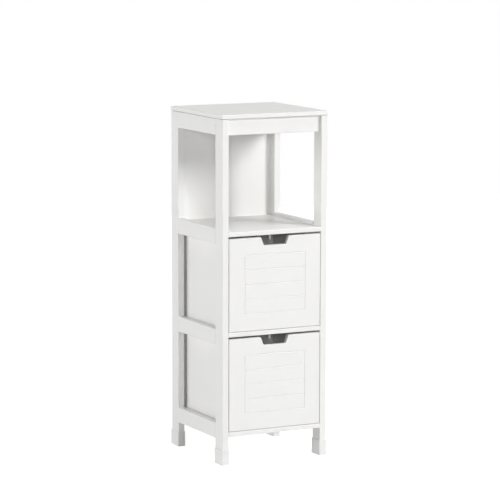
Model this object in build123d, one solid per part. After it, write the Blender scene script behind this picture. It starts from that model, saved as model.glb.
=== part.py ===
from build123d import *
import os

# Narrow bathroom cabinet: an open shelf above two drawers between two ladder-like side frames.
# Millimetres. X runs to the right, +Y to the rear, Z up. The floor is z = 0, under the middle.

# Cabinet as a whole
cabinet_width = 300.0
cabinet_depth = 300.0
floor_gap = 72.5
drawer_opening = 243.0
shelf_opening = 283.5
board_thickness = 12.0
top_overhang = 1.0
edge_easing = 1.0

# Posts, rails and apron
post_width = 18.0
post_depth = 40.0
rail_height = 40.0
apron_height = 41.0
apron_setback = 9.0
shelf_rail_drop = 20.0
divider_rail_drop = 22.0
bottom_rail_drop = 8.0
tenon_length = 12.0
tenon_thickness = 8.0
tenon_shoulder = 6.0
apron_tenon_thickness = 6.0
housing_depth = 3.0
joint_clearance = 0.1

# Fine dark seams that show where the side rails meet the posts and under the top board
rail_seam_width = 0.5
rail_seam_depth = 2.0
top_seam_height = 0.8
top_seam_depth = 5.0

# Foot caps
cap_height = 40.0
cap_wall = 2.0
cap_floor = 4.0
cap_corner_radius = 3.0
cap_bottom_chamfer = 1.5

# Back panel
panel_thickness = 3.0
panel_setback = 13.5
panel_groove_depth = 5.0
panel_play = 0.4

# Drawers
drawer_rear_gap = 4.0
front_side_gap = 1.5
front_top_gap = 5.0
front_bottom_gap = 1.0
box_side_gap = 4.5
box_top_gap = 10.0
slide_clearance = 0.3
side_corner_radius = 8.0
back_inset = 8.0
dovetail_neck = 7.0
dovetail_flare = 1.0
dovetail_depth = 5.0
drawer_bottom_thickness = 3.0
drawer_bottom_rise = 8.0

# Finger notch and milled grooves of the drawer fronts
notch_top_width = 79.0
notch_bottom_width = 62.5
notch_depth = 21.0
notch_radius = 3.0
groove_inset = 44.0
groove_rows = 5
groove_width = 3.0
groove_depth = 1.5

# Peg that stops a drawer when it is pulled out, and block that stops it when it is closed
peg_radius = 2.5
peg_tip_chamfer = 0.8
peg_seat = 8.0
stop_length = 16.0
stop_setback = 29.0
stop_clearance = 0.5
block_length = 30.0
block_depth = 8.0
block_height = 8.0
closing_clearance = 0.3

# Cam bolt and cam lock, the same fitting in every board joint
bolt_thread_radius = 2.5
bolt_cover = 2.0
bolt_shank_radius = 1.75
bolt_bore_play = 0.25
lock_radius = 6.0
lock_setback = 24.0
lock_floor = 2.5
lock_sink = 0.2
lock_slot_width = 1.2
lock_slot_depth = 1.0
fitting_clearance = 0.05

# One overrun for every cut that has to break through a face
cut_overrun = 1.0

# Faces that several pieces share
frame_half_width = cabinet_width / 2 - top_overhang
frame_half_depth = cabinet_depth / 2 - top_overhang
inner_half_width = frame_half_width - post_width
rail_half_length = frame_half_depth - post_depth
bottom_under = floor_gap
bottom_top = bottom_under + board_thickness
divider_under = bottom_top + drawer_opening
divider_top = divider_under + board_thickness
shelf_under = divider_top + drawer_opening
shelf_top = shelf_under + board_thickness
top_under = shelf_top + shelf_opening
cabinet_height = top_under + board_thickness
panel_rear = frame_half_depth - panel_setback
panel_front = panel_rear - panel_thickness
apron_front = apron_setback - frame_half_depth
apron_rear = apron_front + board_thickness

# Faces of a drawer, heights measured from the board that it slides on
front_face = -frame_half_depth
front_rear = front_face + board_thickness
front_half_width = inner_half_width - front_side_gap
front_top = drawer_opening - front_top_gap
box_half_width = inner_half_width - box_side_gap
box_inner_half_width = box_half_width - board_thickness
box_bottom = slide_clearance
box_top = drawer_opening - box_top_gap
box_rear = rail_half_length - drawer_rear_gap
back_rear = box_rear - back_inset
back_front = back_rear - board_thickness
drawer_bottom_under = box_bottom + drawer_bottom_rise
drawer_bottom_top = drawer_bottom_under + drawer_bottom_thickness

# Stops and fittings
stop_y = front_face + stop_setback
closing_face = back_rear + closing_clearance
drawer_travel = back_front - (stop_y + peg_radius) - stop_clearance
bolt_thread_length = board_thickness - bolt_cover
fitting_axis_depth = board_thickness / 2

board_levels = {"shelf": shelf_under, "divider": divider_under, "bottom": bottom_under}
sides = {"left": -1, "right": 1}
ends = {"front": -1, "rear": 1}
rails = {
    "top": (top_under - apron_height, apron_height),
    "shelf": (shelf_under - shelf_rail_drop, rail_height),
    "divider": (divider_under - divider_rail_drop, rail_height),
    "bottom": (bottom_under - bottom_rail_drop, rail_height),
}


def block(corner, opposite):
    """Box between two opposite corners, given in any order."""
    size = [abs(b - a) for a, b in zip(corner, opposite)]
    middle = [(a + b) / 2 for a, b in zip(corner, opposite)]
    return Pos(*middle) * Box(*size)


def eased(piece, axis):
    """The piece with all its edges along one axis eased by a small chamfer."""
    return chamfer(piece.edges().filter_by(axis), edge_easing)


# Cam fitting. Its frame: the origin is where the bolt leaves the piece that it is screwed into,
# local X runs along the bolt into the panel and local Z points out of the lock's mouth.
def cam_bolt():
    """Turned bolt with a thread and the thinner shank that the lock grips."""
    outline = Polyline(
        (-bolt_thread_length, 0),
        (-bolt_thread_length, bolt_thread_radius),
        (0, bolt_thread_radius),
        (0, bolt_shank_radius),
        (lock_setback, bolt_shank_radius),
        (lock_setback, 0),
        close=True,
    )
    return revolve(make_face(outline), Axis.X)


def cam_lock():
    """Round lock with the channel that takes the bolt's shank and a screwdriver slot."""
    low = lock_floor - fitting_axis_depth
    high = fitting_axis_depth - lock_sink
    body = Pos(lock_setback, 0, (low + high) / 2) * Cylinder(lock_radius, high - low)
    half_channel = bolt_shank_radius + bolt_bore_play
    channel = block(
        (lock_setback - lock_radius - cut_overrun, -half_channel, -half_channel),
        (lock_setback + bolt_bore_play, half_channel, half_channel),
    )
    slot = block(
        (lock_setback - bolt_thread_radius, -lock_slot_width / 2, high - lock_slot_depth),
        (lock_setback + bolt_thread_radius, lock_slot_width / 2, high + cut_overrun),
    )
    return body - channel - slot


def bolt_hole():
    """Hole for the bolt's thread, cut into the piece that the bolt is screwed into."""
    low = -bolt_thread_length - fitting_clearance
    hole = Cylinder(bolt_thread_radius + fitting_clearance, cut_overrun - low)
    return Pos((low + cut_overrun) / 2, 0, 0) * Rot(0, 90, 0) * hole


def lock_recess():
    """Pocket for the lock and the bore that leads the bolt to it, cut into the panel."""
    low = lock_floor - fitting_axis_depth
    high = fitting_axis_depth + cut_overrun
    pocket = Cylinder(lock_radius + fitting_clearance, high - low)
    bore = Cylinder(bolt_shank_radius + bolt_bore_play, lock_setback + cut_overrun)
    along_bolt = Pos((lock_setback - cut_overrun) / 2, 0, 0) * Rot(0, 90, 0)
    return Pos(lock_setback, 0, (low + high) / 2) * pocket + along_bolt * bore


def board_fitting(under, side):
    """Place of the fitting that pulls one end of a board into its housing in the side rail."""
    origin = (side * (inner_half_width + housing_depth), 0, under + fitting_axis_depth)
    return Plane(origin=origin, x_dir=(-side, 0, 0), z_dir=(0, 0, -1)).location


def top_fitting(side):
    """Place of the fitting that pulls the top board down on one top rail."""
    origin = (side * (inner_half_width + fitting_axis_depth), 0, top_under)
    return Plane(origin=origin, x_dir=(0, 0, -1), z_dir=(-side, 0, 0)).location


# Side frames
def rail_tenon(side, end, low, height, clearance):
    """Tenon at one end of a side rail, or its mortise if a clearance is given."""
    middle = side * (frame_half_width - post_width / 2)
    half = tenon_thickness / 2 + clearance
    return block(
        (middle - half, end * rail_half_length, low + tenon_shoulder - clearance),
        (
            middle + half,
            end * (rail_half_length + tenon_length + clearance),
            low + height - tenon_shoulder + clearance,
        ),
    )


def apron_tenon(side, clearance):
    """Tenon at one end of the apron, or its mortise if a clearance is given."""
    middle = (apron_front + apron_rear) / 2
    half = apron_tenon_thickness / 2 + clearance
    return block(
        (side * inner_half_width, middle - half, top_under - apron_height + tenon_shoulder - clearance),
        (
            side * (inner_half_width + tenon_length + clearance),
            middle + half,
            top_under - tenon_shoulder + clearance,
        ),
    )


def panel_groove(half_width, low, high):
    """Groove that holds an edge of the back panel."""
    return block(
        (-half_width, panel_front - joint_clearance, low),
        (half_width, panel_rear + joint_clearance, high),
    )


def post(side, end):
    """Corner post with its mortises, and at the rear the groove of the back panel."""
    body = block(
        (side * frame_half_width, end * frame_half_depth, cap_floor),
        (side * inner_half_width, end * rail_half_length, top_under),
    )
    body = eased(body, Axis.Z)
    for low, height in rails.values():
        body -= rail_tenon(side, end, low, height, joint_clearance)
    if end == ends["front"]:
        return body - apron_tenon(side, joint_clearance)
    return body - panel_groove(
        inner_half_width + panel_groove_depth,
        bottom_top - panel_groove_depth,
        top_under,
    )


def side_rail(level, side):
    """Side rail with a tenon at each end, its fitting and, below the top, a board's housing."""
    low, height = rails[level]
    body = block(
        (side * frame_half_width, -rail_half_length, low),
        (side * inner_half_width, rail_half_length, low + height),
    )
    eased_edges = body.edges().filter_by(Axis.Y)
    if level == "top":
        eased_edges = eased_edges.group_by(Axis.Z)[0]
    body = chamfer(eased_edges, edge_easing)
    for end in ends.values():
        body -= block(
            (side * (frame_half_width + cut_overrun), end * (rail_half_length - rail_seam_width), low),
            (side * (frame_half_width - rail_seam_depth), end * rail_half_length, low + height),
        )
        body += rail_tenon(side, end, low, height, 0)
    if level == "top":
        return body - top_fitting(side) * lock_recess()
    under = board_levels[level]
    body -= block(
        (side * (inner_half_width - cut_overrun), -rail_half_length, under - joint_clearance),
        (
            side * (inner_half_width + housing_depth),
            rail_half_length,
            under + board_thickness + joint_clearance,
        ),
    )
    return body - board_fitting(under, side) * bolt_hole()


def apron():
    """Front apron under the top board, set back from the posts' faces."""
    body = block(
        (-inner_half_width, apron_front, top_under - apron_height),
        (inner_half_width, apron_rear, top_under),
    )
    lower_edges = body.edges().filter_by(Axis.X).group_by(Axis.Z)[0]
    body = chamfer(lower_edges, edge_easing)
    for side in sides.values():
        body += apron_tenon(side, 0)
    return body


def foot_cap(side, end):
    """Moulded cap that a post's lower end stands in."""
    outer = block(
        (side * (frame_half_width + cap_wall), end * (frame_half_depth + cap_wall), 0),
        (side * (inner_half_width - cap_wall), end * (rail_half_length - cap_wall), cap_height),
    )
    outer = fillet(outer.edges().filter_by(Axis.Z), cap_corner_radius)
    outer = chamfer(outer.faces().sort_by(Axis.Z)[0].edges(), cap_bottom_chamfer)
    return outer - block(
        (
            side * (frame_half_width + joint_clearance),
            end * (frame_half_depth + joint_clearance),
            cap_floor,
        ),
        (
            side * (inner_half_width - joint_clearance),
            end * (rail_half_length - joint_clearance),
            cap_height + cut_overrun,
        ),
    )


# Boards, stops and back panel
def stop_peg(under):
    """Peg with a chamfered tip, glued into a board so that it hangs from its underside."""
    length = stop_length + peg_seat
    body = Pos(0, stop_y, under + peg_seat - length / 2) * Cylinder(peg_radius, length)
    tip = body.edges().filter_by(GeomType.CIRCLE).sort_by(Axis.Z)[0]
    return chamfer(tip, peg_tip_chamfer)


def peg_hole(under):
    """Hole for a stop peg in the underside of a board."""
    low = under - cut_overrun
    high = under + peg_seat + fitting_clearance
    hole = Cylinder(peg_radius + fitting_clearance, high - low)
    return Pos(0, stop_y, (low + high) / 2) * hole


def closing_block(floor):
    """Block glued on a board, just behind the back of the closed drawer."""
    return block(
        (-block_length / 2, closing_face, floor),
        (block_length / 2, closing_face + block_depth, floor + block_height),
    )


def board(level, rear):
    """Board between the side frames, its ends longer where they enter the rails' housings."""
    under = board_levels[level]
    body = block(
        (-inner_half_width, front_face, under),
        (inner_half_width, rear, under + board_thickness),
    )
    body = chamfer(body.edges().filter_by(Axis.X).group_by(Axis.Y)[0], edge_easing)
    body += block(
        (-inner_half_width - housing_depth, joint_clearance - rail_half_length, under),
        (inner_half_width + housing_depth, rail_half_length - joint_clearance, under + board_thickness),
    )
    for side in sides.values():
        body -= board_fitting(under, side) * lock_recess()
    return body


def shelf_board():
    """Floor of the open compartment. The upper drawer's stop peg hangs from it."""
    return board("shelf", panel_front - panel_play) - peg_hole(shelf_under)


def drawer_divider():
    """Board between the drawers. The lower drawer's stop peg hangs from it."""
    return board("divider", panel_front - panel_play) - peg_hole(divider_under)


def bottom_board():
    """Lowest board, which runs to the rear faces and carries the back panel in a groove."""
    return board("bottom", frame_half_depth) - panel_groove(
        inner_half_width + cut_overrun,
        bottom_top - panel_groove_depth,
        bottom_top + cut_overrun,
    )


def top_board():
    """Top board, eased all round, its underside stepped up at the edge and grooved for the panel."""
    body = block(
        (-cabinet_width / 2, -cabinet_depth / 2, top_under + top_seam_height),
        (cabinet_width / 2, cabinet_depth / 2, cabinet_height),
    )
    body = chamfer(body.edges(), edge_easing)
    body += block(
        (top_seam_depth - frame_half_width, top_seam_depth - frame_half_depth, top_under),
        (frame_half_width - top_seam_depth, frame_half_depth - top_seam_depth, cabinet_height - edge_easing),
    )
    body -= panel_groove(
        inner_half_width + panel_groove_depth,
        top_under - cut_overrun,
        top_under + panel_groove_depth,
    )
    for side in sides.values():
        body -= top_fitting(side) * bolt_hole()
    return body


def back_panel():
    """Thin panel that stands in the grooves of the rear posts, the top and the bottom board."""
    half_width = inner_half_width + panel_groove_depth - panel_play
    return block(
        (-half_width, panel_front, bottom_top - panel_groove_depth + panel_play),
        (half_width, panel_rear, top_under + panel_groove_depth - panel_play),
    )


# Drawers, built on a board whose top is z = 0
def front_outline():
    """Outline of a drawer front: a rectangle with a trapezoid finger notch in its top edge."""
    notch_top = notch_top_width / 2
    notch_bottom = notch_bottom_width / 2
    notch_floor = front_top - notch_depth
    right_half = [
        (notch_bottom, notch_floor),
        (notch_top, front_top),
        (front_half_width, front_top),
        (front_half_width, front_bottom_gap),
    ]
    left_half = [(-x, z) for x, z in reversed(right_half)]
    outline = make_face(Polyline(*right_half, *left_half, close=True))
    notch_corners = [corner for corner in outline.vertices() if abs(corner.X) < front_half_width / 2]
    return fillet(notch_corners, notch_radius)


def v_groove(length):
    """Cutter for a V-shaped groove along X, its mouth on y = 0 and its point towards +Y."""
    flare = groove_width / 2 * (groove_depth + cut_overrun) / groove_depth
    profile = Polyline(
        (-cut_overrun, -flare),
        (-cut_overrun, flare),
        (groove_depth, 0),
        close=True,
    )
    return extrude(Plane.YZ * make_face(profile), length / 2, both=True)


def front_grooves():
    """Milled pattern: two upright grooves with level grooves between them."""
    half_width = front_half_width - groove_inset
    low = front_bottom_gap + groove_inset
    high = front_top - groove_inset
    pitch = (high - low) / (groove_rows - 1)
    level = v_groove(half_width * 2)
    upright = Rot(0, 90, 0) * v_groove(high - low)
    cutters = [Pos(0, front_face, low + row * pitch) * level for row in range(groove_rows)]
    for side in sides.values():
        cutters.append(Pos(side * half_width, front_face, (low + high) / 2) * upright)
    return cutters


def bottom_groove(half_width, front, rear):
    """Groove for the edges of a drawer's bottom."""
    return block(
        (-half_width, front, drawer_bottom_under - joint_clearance),
        (half_width, rear, drawer_bottom_top + joint_clearance),
    )


def dovetail(side, low, high, clearance):
    """Dovetail on the front end of a drawer side, or its socket if a clearance is given."""
    middle = side * (box_half_width + box_inner_half_width) / 2
    neck = dovetail_neck / 2 + clearance
    tail = neck + dovetail_flare
    outline = Polyline(
        (middle - neck, front_rear),
        (middle - tail, front_rear - dovetail_depth - clearance),
        (middle + tail, front_rear - dovetail_depth - clearance),
        (middle + neck, front_rear),
        close=True,
    )
    return extrude(Pos(0, 0, low) * make_face(outline), high - low, dir=(0, 0, 1))


def drawer_front():
    """Drawer front with its notch, milled grooves and the dovetail sockets of the sides."""
    rear_plane = Plane(origin=(0, front_rear, 0), x_dir=(1, 0, 0), z_dir=(0, -1, 0))
    body = extrude(rear_plane * front_outline(), board_thickness)
    body = chamfer(body.faces().sort_by(Axis.Y)[0].edges(), edge_easing)
    for cutter in front_grooves():
        body -= cutter
    for side in sides.values():
        body -= dovetail(side, 0, box_top + joint_clearance, joint_clearance)
    half_width = box_inner_half_width + panel_groove_depth
    return body - bottom_groove(half_width, front_rear - panel_groove_depth, front_rear)


def drawer_side(side):
    """Drawer side with a dovetail, a rounded lower rear corner and grooves for bottom and back."""
    body = block(
        (side * box_half_width, front_rear, box_bottom),
        (side * box_inner_half_width, box_rear, box_top),
    )
    lower_rear_edge = body.edges().filter_by(Axis.X).group_by(Axis.Y)[-1].sort_by(Axis.Z)[0]
    body = fillet(lower_rear_edge, side_corner_radius)
    body += dovetail(side, front_bottom_gap, box_top, 0)
    body -= bottom_groove(
        box_inner_half_width + panel_groove_depth,
        front_rear - dovetail_depth - cut_overrun,
        back_front + panel_groove_depth,
    )
    return body - block(
        (side * (box_inner_half_width - cut_overrun), back_front - joint_clearance, 0),
        (side * (box_inner_half_width + housing_depth), back_rear + joint_clearance, drawer_opening),
    )


def drawer_back():
    """Drawer back, held in the housings of the sides."""
    half_width = box_inner_half_width + housing_depth - joint_clearance
    body = block(
        (-half_width, back_front, box_bottom),
        (half_width, back_rear, box_top),
    )
    return body - bottom_groove(half_width + cut_overrun, back_front, back_front + panel_groove_depth)


def drawer_bottom():
    """Thin bottom, held in grooves all round."""
    half_width = box_inner_half_width + panel_groove_depth - panel_play
    return block(
        (-half_width, front_rear - panel_groove_depth + panel_play, drawer_bottom_under),
        (half_width, back_front + panel_groove_depth - panel_play, drawer_bottom_top),
    )


def drawer(name, floor):
    """All the pieces of one drawer, raised to the board that it slides on."""
    pieces = {
        "front": drawer_front(),
        "left_side": drawer_side(sides["left"]),
        "right_side": drawer_side(sides["right"]),
        "back": drawer_back(),
        "bottom": drawer_bottom(),
    }
    return {f"{name}_drawer_{piece}": Pos(0, 0, floor) * shape for piece, shape in pieces.items()}


def cabinet():
    """All the fixed pieces, by name."""
    pieces = {
        "top_board": top_board(),
        "front_apron": apron(),
        "shelf_board": shelf_board(),
        "drawer_divider": drawer_divider(),
        "bottom_board": bottom_board(),
        "back_panel": back_panel(),
        "upper_drawer_stop": stop_peg(shelf_under),
        "lower_drawer_stop": stop_peg(divider_under),
        "upper_closing_block": closing_block(divider_top),
        "lower_closing_block": closing_block(bottom_top),
    }
    places = []
    for side_name, side in sides.items():
        for end_name, end in ends.items():
            pieces[f"{end_name}_{side_name}_post"] = post(side, end)
            pieces[f"{end_name}_{side_name}_foot_cap"] = foot_cap(side, end)
        for level in rails:
            pieces[f"{side_name}_{level}_rail"] = side_rail(level, side)
        places.append(top_fitting(side))
        places += [board_fitting(under, side) for under in board_levels.values()]
    pieces["cam_bolts"] = Compound(children=[place * cam_bolt() for place in places])
    pieces["cam_locks"] = Compound(children=[place * cam_lock() for place in places])
    return pieces


os.makedirs("parts", exist_ok=True)
all_pieces = {**cabinet(), **drawer("upper", divider_top), **drawer("lower", bottom_top)}
for node, shape in all_pieces.items():
    export_step(shape, f"parts/{node}.step")
print(len(all_pieces), "nodes, height", cabinet_height, "drawer travel", drawer_travel)
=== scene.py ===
"""Finishes and studio of a narrow white bathroom cabinet with an open shelf and two drawers.

The wooden pieces keep their modelled shapes, with arrises softened as by a sprayed coat of satin
paint. The foot caps, stop pegs and cam locks are modelled here in full, because they are moulded,
turned or cast.
"""

import logging
import math
from dataclasses import dataclass
from enum import Enum
from typing import Any, Callable, Optional, Union

import bmesh
import bpy
from mathutils import Matrix, Vector


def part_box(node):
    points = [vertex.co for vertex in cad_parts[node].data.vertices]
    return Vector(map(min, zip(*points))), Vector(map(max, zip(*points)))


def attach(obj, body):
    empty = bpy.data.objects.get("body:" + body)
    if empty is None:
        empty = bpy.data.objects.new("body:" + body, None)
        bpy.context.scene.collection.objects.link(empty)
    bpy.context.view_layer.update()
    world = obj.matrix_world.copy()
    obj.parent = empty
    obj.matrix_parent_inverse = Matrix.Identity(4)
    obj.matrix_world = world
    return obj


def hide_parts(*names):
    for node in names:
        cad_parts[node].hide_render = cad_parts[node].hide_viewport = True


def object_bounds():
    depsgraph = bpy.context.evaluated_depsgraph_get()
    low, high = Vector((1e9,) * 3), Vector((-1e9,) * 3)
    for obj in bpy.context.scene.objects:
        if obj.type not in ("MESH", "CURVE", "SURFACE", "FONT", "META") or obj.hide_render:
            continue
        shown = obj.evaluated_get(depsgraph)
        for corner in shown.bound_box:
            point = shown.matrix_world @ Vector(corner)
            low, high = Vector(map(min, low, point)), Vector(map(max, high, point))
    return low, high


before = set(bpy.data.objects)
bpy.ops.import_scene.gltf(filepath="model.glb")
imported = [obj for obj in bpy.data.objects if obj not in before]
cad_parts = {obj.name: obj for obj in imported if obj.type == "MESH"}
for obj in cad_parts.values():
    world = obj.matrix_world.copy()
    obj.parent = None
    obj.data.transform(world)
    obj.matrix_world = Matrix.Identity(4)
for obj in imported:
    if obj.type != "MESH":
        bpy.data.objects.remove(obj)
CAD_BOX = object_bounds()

LOG = logging.getLogger("cabinet")
MILLIMETRE = 0.001

Colour = tuple[float, float, float]
Stretch = tuple[float, float, float]
Sockets = dict[Union[int, str], Any]

# Limits by which the edges and faces of a mesh are told apart, with angles in degrees
TOLERANCE = 0.01 * MILLIMETRE
SHORTEST_ARRIS = 6 * MILLIMETRE
PARALLEL = 0.999
CHAMFER_ANGLES = (40, 50)
FLAT_ANGLE = 1
SMOOTH_ANGLE = 35

# Sides of a turned piece
ROD_SIDES = 48

# Factor for coordinates along the grain, so that its pattern is 25 times as long as it is wide
ALONG_GRAIN = 0.04

# Sockets of a Mix node: its inputs for the two colours, and its output for their mixture
FIRST_COLOUR = 6
SECOND_COLOUR = 7
MIXED_COLOUR = 2

# Colour of the surroundings, as light and as background
WHITE = (1.0, 1.0, 1.0, 1.0)


class Grain(Enum):
    """Direction in which the wood under the paint runs."""

    ALONG_X = (ALONG_GRAIN, 1.0, 1.0)
    ALONG_Y = (1.0, ALONG_GRAIN, 1.0)
    ALONG_Z = (1.0, 1.0, ALONG_GRAIN)


class Side(Enum):
    """Left or right half of the cabinet, as seen from the front."""

    LEFT = "left"
    RIGHT = "right"


class End(Enum):
    """Front or rear half of the cabinet."""

    FRONT = "front"
    REAR = "rear"


class Level(Enum):
    """Height at which a board and its pair of side rails lie."""

    TOP = "top"
    SHELF = "shelf"
    DIVIDER = "divider"
    BOTTOM = "bottom"


class Signal:
    """A number that varies over a surface. Sums and products of signals add Math nodes."""

    def __init__(self, bench: "Bench", socket: bpy.types.NodeSocket) -> None:
        """Wraps one output socket of a bench's material."""
        self.bench = bench
        self.socket = socket

    def _combine(self, operation: str, first: "Operand", second: "Operand") -> "Signal":
        """Adds one Math node.

        Args:
            operation: The Math node's operation.
            first: Its first value.
            second: Its second value.

        Returns:
            The node's result.
        """
        node = self.bench.node("ShaderNodeMath", {0: first, 1: second}, operation=operation)
        return Signal(self.bench, node.outputs[0])

    def __add__(self, other: "Operand") -> "Signal":
        """This signal plus another value."""
        return self._combine("ADD", self, other)

    def __radd__(self, other: "Operand") -> "Signal":
        """Another value plus this signal."""
        return self._combine("ADD", other, self)

    def __mul__(self, other: "Operand") -> "Signal":
        """This signal times another value."""
        return self._combine("MULTIPLY", self, other)

    def __rmul__(self, other: "Operand") -> "Signal":
        """Another value times this signal."""
        return self._combine("MULTIPLY", other, self)


Operand = Union[Signal, float]


class Bench:
    """The nodes of one material or of the world, added one by one."""

    def __init__(self, tree: bpy.types.NodeTree) -> None:
        """Clears a node tree to build on."""
        self.tree = tree
        self.tree.nodes.clear()

    def node(
        self, kind: str, sockets: Optional[Sockets] = None, **settings: Any
    ) -> bpy.types.Node:
        """Adds a node.

        Args:
            kind: The node's type.
            sockets: Values or links of its inputs, by name or number.
            settings: Its settings, which are set before its inputs.

        Returns:
            The node.
        """
        node = self.tree.nodes.new(kind)
        for name, value in settings.items():
            setattr(node, name, value)
        for name, value in (sockets or {}).items():
            source = value.socket if isinstance(value, Signal) else value
            if isinstance(source, bpy.types.NodeSocket):
                self.tree.links.new(source, node.inputs[name])
            else:
                node.inputs[name].default_value = source
        return node

    def place(self, stretch: Stretch) -> bpy.types.NodeSocket:
        """Object coordinates, stretched along the axes.

        Args:
            stretch: Factor for each axis.

        Returns:
            The stretched coordinates.
        """
        coordinates = self.node("ShaderNodeTexCoord").outputs["Object"]
        mapping = self.node("ShaderNodeMapping", {"Vector": coordinates, "Scale": stretch})
        return mapping.outputs["Vector"]

    def noise(self, size: float, detail: float, stretch: Stretch = (1.0, 1.0, 1.0)) -> Signal:
        """Soft random variation.

        Args:
            size: Width of its largest patches, in metres.
            detail: How many finer layers it has.
            stretch: Factor for each axis.

        Returns:
            A signal around one half.
        """
        sockets = {"Vector": self.place(stretch), "Scale": 1.0 / size, "Detail": detail}
        return Signal(self, self.node("ShaderNodeTexNoise", sockets).outputs[0])

    def tone(self, amount: Signal, first: Colour, second: Colour) -> bpy.types.NodeSocket:
        """A colour between two others.

        Args:
            amount: Zero for the first colour and one for the second.
            first: One colour.
            second: The other colour.

        Returns:
            The mixed colour.
        """
        sockets = {0: amount, FIRST_COLOUR: (*first, 1.0), SECOND_COLOUR: (*second, 1.0)}
        return self.node("ShaderNodeMix", sockets, data_type="RGBA").outputs[MIXED_COLOUR]

    def bump(self, height: Signal, depth: float, strength: float) -> bpy.types.NodeSocket:
        """Relief on the surface.

        Args:
            height: The relief, from zero to one.
            depth: What one stands for, in metres.
            strength: How much of it shows.

        Returns:
            The bent normal.
        """
        sockets = {"Height": height, "Distance": depth, "Strength": strength}
        return self.node("ShaderNodeBump", sockets).outputs["Normal"]

    def surface(self, sockets: Sockets) -> None:
        """Ends a material with a principled surface.

        Args:
            sockets: Values or links of the surface's inputs.
        """
        shader = self.node("ShaderNodeBsdfPrincipled", sockets)
        self.node("ShaderNodeOutputMaterial", {"Surface": shader.outputs[0]})


def new_material(name: str) -> tuple[bpy.types.Material, Bench]:
    """Makes an empty material.

    Args:
        name: The material's name.

    Returns:
        The material and the bench that its nodes are built on.
    """
    material = bpy.data.materials.new(name)
    material.use_nodes = True
    return material, Bench(material.node_tree)


@dataclass(frozen=True)
class SatinPaint:
    """White satin paint, sprayed on wood or board that still shows through faintly.

    Each dulling field is the range through which its pattern moves the roughness.
    """

    name: str
    grain: Grain
    bright: Colour = (0.865, 0.862, 0.85)
    dull: Colour = (0.84, 0.836, 0.822)
    roughness: float = 0.4
    specular: float = 0.45
    patch_size: float = 90 * MILLIMETRE
    patch_detail: float = 3.0
    patch_colour_share: float = 0.7
    patch_dulling: float = 0.08
    grain_size: float = 9 * MILLIMETRE
    grain_detail: float = 4.0
    grain_relief_share: float = 0.3
    peel_size: float = 1.6 * MILLIMETRE
    peel_detail: float = 2.0
    peel_dulling: float = 0.06
    relief: float = 0.06 * MILLIMETRE
    relief_strength: float = 0.35

    def material(self) -> bpy.types.Material:
        """Builds the paint with its uneven coat, its orange peel and the grain under it."""
        material, bench = new_material(self.name)
        patches = bench.noise(self.patch_size, self.patch_detail)
        grain = bench.noise(self.grain_size, self.grain_detail, self.grain.value)
        peel = bench.noise(self.peel_size, self.peel_detail)
        tint = patches * self.patch_colour_share + grain * (1.0 - self.patch_colour_share)
        height = grain * self.grain_relief_share + peel * (1.0 - self.grain_relief_share)
        lowest = self.roughness - (self.patch_dulling + self.peel_dulling) / 2
        bench.surface(
            {
                "Base Color": bench.tone(tint, self.bright, self.dull),
                "Roughness": patches * self.patch_dulling + peel * self.peel_dulling + lowest,
                "Normal": bench.bump(height, self.relief, self.relief_strength),
                "Specular IOR Level": self.specular,
            }
        )
        return material


@dataclass(frozen=True)
class MouldedPlastic:
    """White injection-moulded plastic with a fine spark-eroded skin.

    Each dulling field is the range through which its pattern moves the roughness.
    """

    name: str
    bright: Colour = (0.85, 0.85, 0.84)
    dull: Colour = (0.83, 0.83, 0.818)
    roughness: float = 0.42
    flow_size: float = 25 * MILLIMETRE
    flow_detail: float = 2.0
    flow_dulling: float = 0.08
    skin_size: float = 0.5 * MILLIMETRE
    skin_detail: float = 3.0
    skin_dulling: float = 0.08
    relief: float = 0.02 * MILLIMETRE
    relief_strength: float = 0.4
    translucence: float = 0.08
    translucent_depth: float = 1.5 * MILLIMETRE

    def material(self) -> bpy.types.Material:
        """Builds the plastic with its skin and the faint clouds of its flow."""
        material, bench = new_material(self.name)
        flow = bench.noise(self.flow_size, self.flow_detail)
        skin = bench.noise(self.skin_size, self.skin_detail)
        lowest = self.roughness - (self.flow_dulling + self.skin_dulling) / 2
        bench.surface(
            {
                "Base Color": bench.tone(flow, self.bright, self.dull),
                "Roughness": flow * self.flow_dulling + skin * self.skin_dulling + lowest,
                "Normal": bench.bump(skin, self.relief, self.relief_strength),
                "Subsurface Weight": self.translucence,
                "Subsurface Scale": self.translucent_depth,
            }
        )
        return material


@dataclass(frozen=True)
class ZincPlate:
    """Bright zinc plating on the cast and turned fittings.

    The dulling field is the range through which the crystals move the roughness.
    """

    name: str
    bright: Colour = (0.72, 0.72, 0.73)
    dull: Colour = (0.6, 0.6, 0.62)
    roughness: float = 0.34
    crystal_size: float = 1.2 * MILLIMETRE
    crystal_detail: float = 3.0
    crystal_dulling: float = 0.2
    relief: float = 0.015 * MILLIMETRE
    relief_strength: float = 0.5

    def material(self) -> bpy.types.Material:
        """Builds the plating with its crystals and uneven lustre."""
        material, bench = new_material(self.name)
        crystals = bench.noise(self.crystal_size, self.crystal_detail)
        lowest = self.roughness - self.crystal_dulling / 2
        bench.surface(
            {
                "Base Color": bench.tone(crystals, self.bright, self.dull),
                "Metallic": 1.0,
                "Roughness": crystals * self.crystal_dulling + lowest,
                "Normal": bench.bump(crystals, self.relief, self.relief_strength),
            }
        )
        return material


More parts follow.
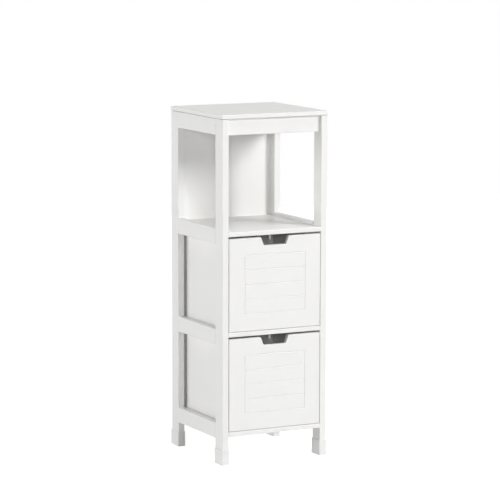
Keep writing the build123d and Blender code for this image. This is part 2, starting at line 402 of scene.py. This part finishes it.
@dataclass(frozen=True)
class Finishes:
    """All the finishes of the cabinet, as materials."""

    post: bpy.types.Material
    rail: bpy.types.Material
    cross: bpy.types.Material
    panel: bpy.types.Material
    plastic: bpy.types.Material
    zinc: bpy.types.Material

    @classmethod
    def mix(cls) -> "Finishes":
        """Mixes every finish once.

        Returns:
            The finishes.
        """
        hardboard = SatinPaint(
            name="paint_hardboard",
            grain=Grain.ALONG_Z,
            bright=(0.85, 0.847, 0.835),
            dull=(0.825, 0.82, 0.806),
            roughness=0.5,
            grain_size=4 * MILLIMETRE,
            grain_relief_share=0.15,
            peel_size=0.9 * MILLIMETRE,
        )
        return cls(
            post=SatinPaint("paint_upright", Grain.ALONG_Z).material(),
            rail=SatinPaint("paint_front_to_rear", Grain.ALONG_Y).material(),
            cross=SatinPaint("paint_side_to_side", Grain.ALONG_X).material(),
            panel=hardboard.material(),
            plastic=MouldedPlastic("moulded_plastic").material(),
            zinc=ZincPlate("zinc_plate").material(),
        )


def dress(node: str, material: bpy.types.Material) -> None:
    """Gives a CAD node its finish.

    Args:
        node: The node's name.
        material: Its finish.
    """
    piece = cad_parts[node]
    piece.data.materials.clear()
    piece.data.materials.append(material)
    LOG.info("dressed %s with %s", node, material.name)


class Element(Enum):
    """What is picked on a mesh in edit mode."""

    EDGES = "EDGE"
    FACES = "FACE"


Picked = Union[bmesh.types.BMEdge, bmesh.types.BMFace]
Test = Callable[[Picked], bool]


def runs_along(axis: int) -> Test:
    """Makes a test for edges that run along an axis.

    Args:
        axis: The axis, from 0 to 2.

    Returns:
        The test.
    """

    def test(edge: bmesh.types.BMEdge) -> bool:
        """Tells whether an edge runs along the axis."""
        along = (edge.verts[1].co - edge.verts[0].co).normalized()
        return abs(along[axis]) > PARALLEL

    return test


def lies_at(axis: int, place: float) -> Test:
    """Makes a test for edges and faces that lie in a plane across an axis.

    Args:
        axis: The axis, from 0 to 2.
        place: Where the plane crosses it, in metres.

    Returns:
        The test.
    """
    return lambda part: all(abs(corner.co[axis] - place) < TOLERANCE for corner in part.verts)


def is_long(edge: bmesh.types.BMEdge) -> bool:
    """Tells whether an edge runs along a piece, and not across the end of a chamfer."""
    return edge.calc_length() > SHORTEST_ARRIS


def is_arris(edge: bmesh.types.BMEdge) -> bool:
    """Tells whether an edge borders one of the small chamfers that ease a wooden piece."""
    if not (edge.is_manifold and edge.is_convex):
        return False
    least, most = CHAMFER_ANGLES
    return least < math.degrees(edge.calc_face_angle()) < most


def is_long_arris(edge: bmesh.types.BMEdge) -> bool:
    """Tells whether an edge borders a chamfer and runs along the piece."""
    return is_arris(edge) and is_long(edge)


@dataclass(frozen=True)
class Rounding:
    """How an edge is rounded: its reach on each side of the edge, and the number of flats."""

    reach: float
    flats: int


# Most painted edges, and the softer ones of the closing blocks and the drawer boxes
PAINTED_ARRIS = Rounding(0.6 * MILLIMETRE, 3)
SOFT_ARRIS = Rounding(0.8 * MILLIMETRE, 3)


class Workpiece:
    """A mesh that is shaped in edit mode, and then finished and set on its body."""

    def __init__(self, piece: bpy.types.Object) -> None:
        """Takes up an object."""
        self.piece = piece

    @staticmethod
    def clear() -> None:
        """Leaves edit mode and deselects everything."""
        if bpy.context.mode != "OBJECT":
            bpy.ops.object.mode_set(mode="OBJECT")
        bpy.ops.object.select_all(action="DESELECT")

    @classmethod
    def from_block(cls, low: Vector, high: Vector) -> "Workpiece":
        """Starts from a block.

        Args:
            low: Its lowest corner.
            high: Its highest corner.

        Returns:
            The workpiece.
        """
        cls.clear()
        bpy.ops.mesh.primitive_cube_add(size=1.0, location=(low + high) / 2, scale=high - low)
        bpy.ops.object.transform_apply(location=True, rotation=True, scale=True)
        return cls(bpy.context.object)

    @classmethod
    def from_rod(cls, centre: Vector, radius: float, length: float) -> "Workpiece":
        """Starts from an upright rod.

        Args:
            centre: Its middle.
            radius: Its radius.
            length: Its length.

        Returns:
            The workpiece.
        """
        cls.clear()
        bpy.ops.mesh.primitive_cylinder_add(
            vertices=ROD_SIDES, radius=radius, depth=length, location=centre
        )
        bpy.ops.object.transform_apply(location=True, rotation=True, scale=True)
        return cls(bpy.context.object)

    @classmethod
    def from_node(cls, node: str) -> "Workpiece":
        """Starts from a copy of a CAD node, its loose triangles joined into whole faces.

        The copy's stored normals are dropped, because they would hide its new sharp edges.

        Args:
            node: The node's name.

        Returns:
            The workpiece.
        """
        piece = bpy.data.objects.new(node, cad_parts[node].data.copy())
        bpy.context.scene.collection.objects.link(piece)
        work = cls(piece)
        work.open()
        bpy.ops.mesh.customdata_custom_splitnormals_clear()
        bpy.ops.mesh.select_all(action="SELECT")
        bpy.ops.mesh.remove_doubles(threshold=TOLERANCE)
        bpy.ops.mesh.dissolve_limited(angle_limit=math.radians(FLAT_ANGLE))
        return work

    def open(self) -> None:
        """Makes this the only object in edit mode."""
        self.clear()
        self.piece.select_set(True)
        bpy.context.view_layer.objects.active = self.piece
        bpy.ops.object.mode_set(mode="EDIT")

    def pick(self, element: Element, *tests: Test) -> None:
        """Selects the edges or faces that pass every test, and nothing else.

        Args:
            element: Edges or faces.
            tests: The tests.
        """
        self.open()
        bpy.ops.mesh.select_mode(type=element.value)
        bpy.ops.mesh.select_all(action="DESELECT")
        shape = bmesh.from_edit_mesh(self.piece.data)
        for part in shape.edges if element is Element.EDGES else shape.faces:
            part.select_set(all(test(part) for test in tests))
        shape.select_flush_mode()
        bmesh.update_edit_mesh(self.piece.data)

    def round_edges(self, rounding: Rounding, *tests: Test) -> None:
        """Rounds the edges that pass every test.

        Args:
            rounding: How they are rounded.
            tests: The tests.
        """
        self.pick(Element.EDGES, *tests)
        bpy.ops.mesh.bevel(
            offset=rounding.reach, segments=rounding.flats, affect="EDGES", clamp_overlap=True
        )

    def step_top(self, border: float, drop: float) -> None:
        """Sinks the top face of a block or rod inside a rim.

        Args:
            border: Width of the rim that stays.
            drop: How far the rest of the face goes down.
        """
        # The corners are up to date only outside edit mode.
        self.clear()
        top = max(corner.co.z for corner in self.piece.data.vertices)
        self.pick(Element.FACES, lies_at(2, top))
        bpy.ops.mesh.inset(thickness=border, use_even_offset=True)
        bpy.ops.mesh.extrude_region_move(TRANSFORM_OT_translate={"value": (0.0, 0.0, -drop)})

    def carve(self, cutter: "Workpiece") -> None:
        """Cuts another workpiece out of this one, and clears it away.

        Args:
            cutter: What is cut out.
        """
        self.clear()
        bpy.context.view_layer.objects.active = self.piece
        self.piece.select_set(True)
        bpy.ops.object.modifier_add(type="BOOLEAN")
        cut = self.piece.modifiers[-1]
        cut.operation = "DIFFERENCE"
        cut.solver = "EXACT"
        cut.object = cutter.piece
        bpy.ops.object.modifier_apply(modifier=cut.name)
        cutter.discard()

    def twin(self, place: Matrix) -> "Workpiece":
        """Copies the workpiece, with a mesh of its own.

        Args:
            place: Where the copy goes, seen from here.

        Returns:
            The copy.
        """
        self.clear()
        piece = bpy.data.objects.new(self.piece.name, self.piece.data.copy())
        bpy.context.scene.collection.objects.link(piece)
        piece.data.transform(place)
        return Workpiece(piece)

    def discard(self) -> None:
        """Clears the workpiece away."""
        bpy.data.objects.remove(self.piece)

    def finish(self, node: str, body: str, slot: str, material: bpy.types.Material) -> None:
        """Smooths the workpiece, dresses it and puts it in a CAD node's place.

        Args:
            node: The node that it stands for.
            body: The body that it moves with.
            slot: The material slot of its finish; it is not used.
            material: Its finish.
        """
        self.clear()
        self.piece.name = self.piece.data.name = f"{node}_finished"
        self.piece.select_set(True)
        bpy.context.view_layer.objects.active = self.piece
        bpy.ops.object.shade_smooth_by_angle(angle=math.radians(SMOOTH_ANGLE))
        bpy.ops.object.modifier_add(type="WEIGHTED_NORMAL")
        even = self.piece.modifiers[-1]
        even.keep_sharp = True
        bpy.ops.object.modifier_apply(modifier=even.name)
        self.piece.data.materials.clear()
        self.piece.data.materials.append(material)
        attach(self.piece, body)
        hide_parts(node)
        self.clear()
        LOG.info("finished %s with %s", node, material.name)


@dataclass
class SideFrames:
    """The two ladder-like side frames: corner posts joined by side rails."""

    finishes: Finishes
    arris: Rounding = PAINTED_ARRIS

    def build(self) -> None:
        """Softens the posts and rails, and paints them with the grain along each."""
        for side in Side:
            for end in End:
                self._post(f"{end.value}_{side.value}_post")
            for level in Level:
                self._rail(f"{side.value}_{level.value}_rail", side)

    def _post(self, node: str) -> None:
        """Softens and paints one post.

        Args:
            node: Its name.
        """
        work = Workpiece.from_node(node)
        work.round_edges(self.arris, is_long_arris)
        work.finish(node, "cabinet", "painted_frame", self.finishes.post)

    def _rail(self, node: str, side: Side) -> None:
        """Softens one rail, also where its outer face ends at the posts, and paints it.

        Args:
            node: Its name.
            side: The side that it is on.
        """
        low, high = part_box(node)
        is_outside = lies_at(0, low.x if side is Side.LEFT else high.x)
        is_upright = runs_along(2)

        def is_eased(edge: bmesh.types.BMEdge) -> bool:
            """Tells whether an edge borders a long chamfer or ends the outer face."""
            return is_long_arris(edge) or (is_outside(edge) and is_upright(edge))

        work = Workpiece.from_node(node)
        work.round_edges(self.arris, is_eased)
        work.finish(node, "cabinet", "painted_frame", self.finishes.rail)


@dataclass
class Boards:
    """The boards across the cabinet, its apron, its back panel and the closing blocks."""

    finishes: Finishes
    arris: Rounding = PAINTED_ARRIS
    block_arris: Rounding = SOFT_ARRIS

    def build(self) -> None:
        """Softens the boards and blocks, and paints them with the grain from side to side."""
        for node in ("top_board", "shelf_board", "drawer_divider", "bottom_board"):
            self._board(node, "painted_board")
        self._board("front_apron", "painted_frame")
        for node in ("upper_closing_block", "lower_closing_block"):
            self._block(node)
        dress("back_panel", self.finishes.panel)

    def _board(self, node: str, slot: str) -> None:
        """Softens and paints one board.

        Args:
            node: Its name.
            slot: The material slot of its paint.
        """
        work = Workpiece.from_node(node)
        work.round_edges(self.arris, is_long_arris)
        work.finish(node, "cabinet", slot, self.finishes.cross)

    def _block(self, node: str) -> None:
        """Softens all the edges of one closing block and paints it.

        Args:
            node: Its name.
        """
        work = Workpiece.from_node(node)
        work.round_edges(self.block_arris)
        work.finish(node, "cabinet", "painted_board", self.finishes.cross)


@dataclass
class Drawer:
    """One drawer: a front on two sides, a back and a thin bottom."""

    name: str
    finishes: Finishes
    arris: Rounding = PAINTED_ARRIS
    rim: Rounding = SOFT_ARRIS
    pattern_inset: float = 40 * MILLIMETRE

    def build(self) -> None:
        """Softens the drawer's edges that hands and eyes meet, and paints its pieces."""
        self._front()
        self._box_piece(f"{self.name}_back", self.finishes.cross)
        for side in Side:
            self._box_piece(f"{self.name}_{side.value}_side", self.finishes.rail)
        dress(f"{self.name}_bottom", self.finishes.panel)

    def _front(self) -> None:
        """Softens the front all round and in its notch, but not in its milled grooves."""
        node = f"{self.name}_front"
        low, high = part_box(node)

        def is_outside_pattern(edge: bmesh.types.BMEdge) -> bool:
            """Tells whether an edge is outside the milled pattern."""
            middle = (edge.verts[0].co + edge.verts[1].co) / 2
            to_side = min(middle.x - low.x, high.x - middle.x)
            to_rim = min(middle.z - low.z, high.z - middle.z)
            return min(to_side, to_rim) <= self.pattern_inset

        work = Workpiece.from_node(node)
        work.round_edges(self.arris, is_arris, is_outside_pattern)
        work.finish(node, self.name, "painted_front", self.finishes.cross)

    def _box_piece(self, node: str, material: bpy.types.Material) -> None:
        """Rounds the upper rim of a side or back.

        Args:
            node: Its name.
            material: Its paint.
        """
        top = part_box(node)[1].z
        work = Workpiece.from_node(node)
        work.round_edges(self.rim, lies_at(2, top), is_long)
        work.finish(node, self.name, "painted_box", material)


@dataclass
class FootCaps:
    """The four moulded cups with rounded corners that the posts stand in."""

    finishes: Finishes
    wall: float = 1.9 * MILLIMETRE
    floor: float = 4 * MILLIMETRE
    corner: Rounding = Rounding(3 * MILLIMETRE, 6)
    sole: Rounding = Rounding(1.8 * MILLIMETRE, 4)
    rim: Rounding = Rounding(0.6 * MILLIMETRE, 3)

    def build(self) -> None:
        """Models one cap and sets four copies under the posts."""
        nodes = [f"{end.value}_{side.value}_foot_cap" for side in Side for end in End]
        low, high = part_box(nodes[0])
        cap = Workpiece.from_block(low, high)
        cap.round_edges(self.corner, runs_along(2))
        cap.round_edges(self.sole, lies_at(2, low.z))
        cap.step_top(self.wall, high.z - low.z - self.floor)
        cap.round_edges(self.rim, lies_at(2, high.z))
        for node in nodes:
            shift = Matrix.Translation(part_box(node)[0] - low)
            cap.twin(shift).finish(node, "cabinet", "foot_cap", self.finishes.plastic)
        cap.discard()


@dataclass
class StopPegs:
    """The two turned pegs that stop a drawer when it is pulled out."""

    finishes: Finishes
    tip: Rounding = Rounding(1.3 * MILLIMETRE, 5)
    lead_in: Rounding = Rounding(0.4 * MILLIMETRE, 2)

    def build(self) -> None:
        """Models one peg with a domed tip and sets two copies in their boards."""
        nodes = ("upper_drawer_stop", "lower_drawer_stop")
        low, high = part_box(nodes[0])
        peg = Workpiece.from_rod((low + high) / 2, (high.x - low.x) / 2, high.z - low.z)
        peg.round_edges(self.tip, lies_at(2, low.z))
        peg.round_edges(self.lead_in, lies_at(2, high.z))
        for node in nodes:
            shift = Matrix.Translation(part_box(node)[0] - low)
            peg.twin(shift).finish(node, "cabinet", "stop_peg", self.finishes.plastic)
        peg.discard()


@dataclass
class CamFittings:
    """The cast locks in the boards and top rails, and the bolts that they pull on."""

    finishes: Finishes
    radius: float = 6 * MILLIMETRE
    behind_axis: float = 3.5 * MILLIMETRE
    before_axis: float = 5.8 * MILLIMETRE
    rim: Rounding = Rounding(0.3 * MILLIMETRE, 2)
    rim_width: float = 0.9 * MILLIMETRE
    rim_height: float = 0.4 * MILLIMETRE
    channel_half_width: float = 2 * MILLIMETRE
    channel_past_axis: float = 0.25 * MILLIMETRE
    slot_half_length: float = 3.2 * MILLIMETRE
    slot_half_width: float = 0.6 * MILLIMETRE
    slot_depth: float = 1.4 * MILLIMETRE

    def build(self) -> None:
        """Models one lock and sets eight copies at the ends of the boards, as one piece."""
        lock = self._lock()
        locks = [lock.twin(place) for place in self._places()]
        lock.discard()
        Workpiece.clear()
        for one in locks:
            one.piece.select_set(True)
        bpy.context.view_layer.objects.active = locks[0].piece
        bpy.ops.object.join()
        locks[0].finish("cam_locks", "cabinet", "cam_fitting", self.finishes.zinc)
        dress("cam_bolts", self.finishes.zinc)

    def _lock(self) -> Workpiece:
        """Models a lock around the origin, its mouth up and its bolt along X.

        Returns:
            The lock.
        """
        low, high = -self.behind_axis, self.before_axis
        lock = Workpiece.from_rod(Vector((0.0, 0.0, (low + high) / 2)), self.radius, high - low)
        lock.step_top(self.rim_width, self.rim_height)
        lock.round_edges(self.rim, lies_at(2, high))
        half = self.channel_half_width
        channel_start = Vector((-self.channel_past_axis, -half, -half))
        channel_end = Vector((2 * self.radius, half, half))
        lock.carve(Workpiece.from_block(channel_start, channel_end))
        floor = high - self.rim_height - self.slot_depth
        above = high + self.rim_height
        length, width = self.slot_half_length, self.slot_half_width
        for x, y in ((length, width), (width, length)):
            lock.carve(Workpiece.from_block(Vector((-x, -y, floor)), Vector((x, y, above))))
        return lock

    def _places(self) -> list[Matrix]:
        """Finds where each lock sits and how it is turned, from the CAD solids.

        Returns:
            A matrix for each lock.
        """
        probe = Workpiece.from_node("cam_locks")
        probe.clear()
        shape = bmesh.new()
        shape.from_mesh(probe.piece.data)
        probe.discard()
        places = [self._place(corners) for corners in self._solids(shape)]
        shape.free()
        return places

    @staticmethod
    def _solids(shape: bmesh.types.BMesh) -> list[list[Vector]]:
        """Takes a mesh apart into its separate solids.

        Args:
            shape: The mesh.

        Returns:
            The corners of each solid.
        """
        solids, seen = [], set()
        for start in shape.verts:
            if start in seen:
                continue
            seen.add(start)
            solid, ahead = [], [start]
            while ahead:
                corner = ahead.pop()
                solid.append(corner.co.copy())
                near = [link.other_vert(corner) for link in corner.link_edges]
                new = [other for other in near if other not in seen]
                seen.update(new)
                ahead.extend(new)
            solids.append(solid)
        return solids

    def _place(self, corners: list[Vector]) -> Matrix:
        """Finds the place of one lock: in a board it faces down, and in a rail it faces inwards.

        Args:
            corners: The corners of its CAD solid.

        Returns:
            Its matrix.
        """
        low = Vector(min(corner[axis] for corner in corners) for axis in range(3))
        high = Vector(max(corner[axis] for corner in corners) for axis in range(3))
        outwards = Vector((math.copysign(1.0, low.x), 0.0, 0.0))
        upwards = Vector((0.0, 0.0, 1.0))
        in_rail = high.z - low.z > high.x - low.x
        mouth, bolt = (-outwards, upwards) if in_rail else (-upwards, outwards)
        middle = (low + high) / 2 - mouth * (self.before_axis - self.behind_axis) / 2
        turn = Matrix((bolt, mouth.cross(bolt), mouth)).transposed().to_4x4()
        return Matrix.Translation(middle) @ turn


@dataclass
class Lamp:
    """One square softbox that points at the middle of the cabinet.

    Its level sets how brightly it lights what faces it, whatever its distance and size.
    """

    name: str
    direction: tuple[float, float, float]
    level: float
    size: float
    distance: float = 8.0

    def build(self, target: Vector) -> None:
        """Hangs the lamp.

        Args:
            target: The point that it lights.
        """
        toward = Vector(self.direction).normalized()
        place = target + toward * self.distance
        turn = toward.to_track_quat("Z", "Y").to_euler()
        bpy.ops.object.light_add(type="AREA", location=place, rotation=turn)
        lamp = bpy.context.object
        lamp.name = self.name
        lamp.data.size = self.size
        lamp.data.energy = self.level * (math.pi * self.distance) ** 2
        LOG.info("hung %s", self.name)


@dataclass
class Studio:
    """Pale floor, white surroundings, softboxes and the camera.

    Lengths are in metres and angles in degrees, apart from the sensor's width in millimetres.
    What is measured in pixels belongs to a frame that is frame_pixels wide and high.
    """

    floor_size: float = 9.0
    floor_bright: Colour = (0.71, 0.71, 0.71)
    floor_dull: Colour = (0.69, 0.69, 0.69)
    floor_lift: float = 0.8
    mottle_size: float = 0.5
    mottle_detail: float = 2.0
    ambient: float = 0.01
    frame_pixels: float = 500.0
    sensor: float = 36.0
    focal_pixels: float = 2605.15
    centre_column: float = 248.405
    centre_row: float = 280.373
    azimuth: float = -26.888
    elevation: float = 8.635
    roll: float = -0.115
    distance: float = 6.72613

    def build(self) -> None:
        """Builds the whole studio."""
        low, high = CAD_BOX
        target = (low + high) / 2
        self._floor()
        self._surroundings()
        for lamp in self._lamps():
            lamp.build(target)
        self._camera(target)

    @staticmethod
    def _lamps() -> list[Lamp]:
        """Lists the softboxes: the key from the right and the weaker ones around it.

        Returns:
            The lamps.
        """
        return [
            Lamp("key_softbox", direction=(0.48, -0.77, 0.43), level=0.63, size=2.2),
            Lamp("side_softbox", direction=(-1.0, 0.55, 0.15), level=0.48, size=4.0),
            Lamp("left_softbox", direction=(-1.0, 0.0, 0.12), level=0.11, size=1.5),
            Lamp("rear_softbox", direction=(0.9, 0.55, 0.2), level=0.42, size=2.0),
            Lamp("front_softbox", direction=(-0.45, -0.88, 0.17), level=0.2, size=0.8),
            Lamp("top_softbox", direction=(0.0, -0.3, 1.0), level=0.3, size=4.0),
        ]

    @staticmethod
    def _seen(bench: Bench) -> Signal:
        """Tells apart what a ray is for.

        Args:
            bench: The bench to work on.

        Returns:
            One for rays that show the background and zero for rays that light the cabinet.
        """
        path = bench.node("ShaderNodeLightPath")
        camera = Signal(bench, path.outputs["Is Camera Ray"])
        glossy = Signal(bench, path.outputs["Is Glossy Ray"])
        through = Signal(bench, path.outputs["Is Transmission Ray"])
        return camera + glossy + through

    def _floor(self) -> None:
        """Lays a pale floor that is seen nearly white and keeps the cabinet's soft shadow."""
        bpy.ops.mesh.primitive_plane_add(size=self.floor_size)
        floor = bpy.context.object
        floor.name = "floor"
        material, bench = new_material("pale_floor")
        mottle = bench.noise(self.mottle_size, self.mottle_detail)
        colour = bench.tone(mottle, self.floor_bright, self.floor_dull)
        matt = bench.node("ShaderNodeBsdfDiffuse", {"Color": colour})
        lift = self._seen(bench) * self.floor_lift
        glow = bench.node("ShaderNodeEmission", {"Strength": lift})
        both = bench.node("ShaderNodeAddShader", {0: matt.outputs[0], 1: glow.outputs[0]})
        bench.node("ShaderNodeOutputMaterial", {"Surface": both.outputs[0]})
        floor.data.materials.append(material)

    def _surroundings(self) -> None:
        """Sets white surroundings, dimmer as a light source than as a background."""
        world = bpy.data.worlds.new("white_studio")
        bpy.context.scene.world = world
        world.use_nodes = True
        bench = Bench(world.node_tree)
        light = bench.node("ShaderNodeBackground", {"Color": WHITE, "Strength": self.ambient})
        shown = bench.node("ShaderNodeBackground", {"Color": WHITE, "Strength": 1.0})
        choice = {0: self._seen(bench), 1: light.outputs[0], 2: shown.outputs[0]}
        mix = bench.node("ShaderNodeMixShader", choice)
        bench.node("ShaderNodeOutputWorld", {"Surface": mix.outputs[0]})

    def _camera(self, target: Vector) -> None:
        """Sets the camera at the photograph's viewing angle.

        Args:
            target: The point that the camera circles.
        """
        azimuth, elevation, roll = map(math.radians, (self.azimuth, self.elevation, self.roll))
        back = Vector(
            (
                math.sin(azimuth) * math.cos(elevation),
                -math.cos(azimuth) * math.cos(elevation),
                math.sin(elevation),
            )
        )
        level = Vector((math.cos(azimuth), math.sin(azimuth), 0.0))
        upright = back.cross(level)
        right = level * math.cos(roll) - upright * math.sin(roll)
        up = level * math.sin(roll) + upright * math.cos(roll)
        turn = Matrix((right, up, back)).transposed().to_euler()
        place = Vector((0.0, 0.0, target.z)) + back * self.distance
        bpy.ops.object.camera_add(location=place, rotation=turn)
        camera = bpy.context.object
        middle = self.frame_pixels / 2
        camera.data.sensor_width = self.sensor
        camera.data.lens = self.focal_pixels * self.sensor / self.frame_pixels
        camera.data.shift_x = (middle - self.centre_column) / self.frame_pixels
        camera.data.shift_y = (self.centre_row - middle) / self.frame_pixels
        camera.data.clip_end = 2 * self.floor_size
        bpy.context.scene.camera = camera
        bpy.context.scene.view_settings.view_transform = "Standard"


def main() -> None:
    """Builds and dresses the cabinet, sub-assembly by sub-assembly."""
    logging.basicConfig(level=logging.INFO, format="%(name)s: %(message)s")
    finishes = Finishes.mix()
    SideFrames(finishes).build()
    Boards(finishes).build()
    for name in ("upper_drawer", "lower_drawer"):
        Drawer(name, finishes).build()
    FootCaps(finishes).build()
    StopPegs(finishes).build()
    CamFittings(finishes).build()
    Studio().build()


if __name__ == "__main__":
    main()
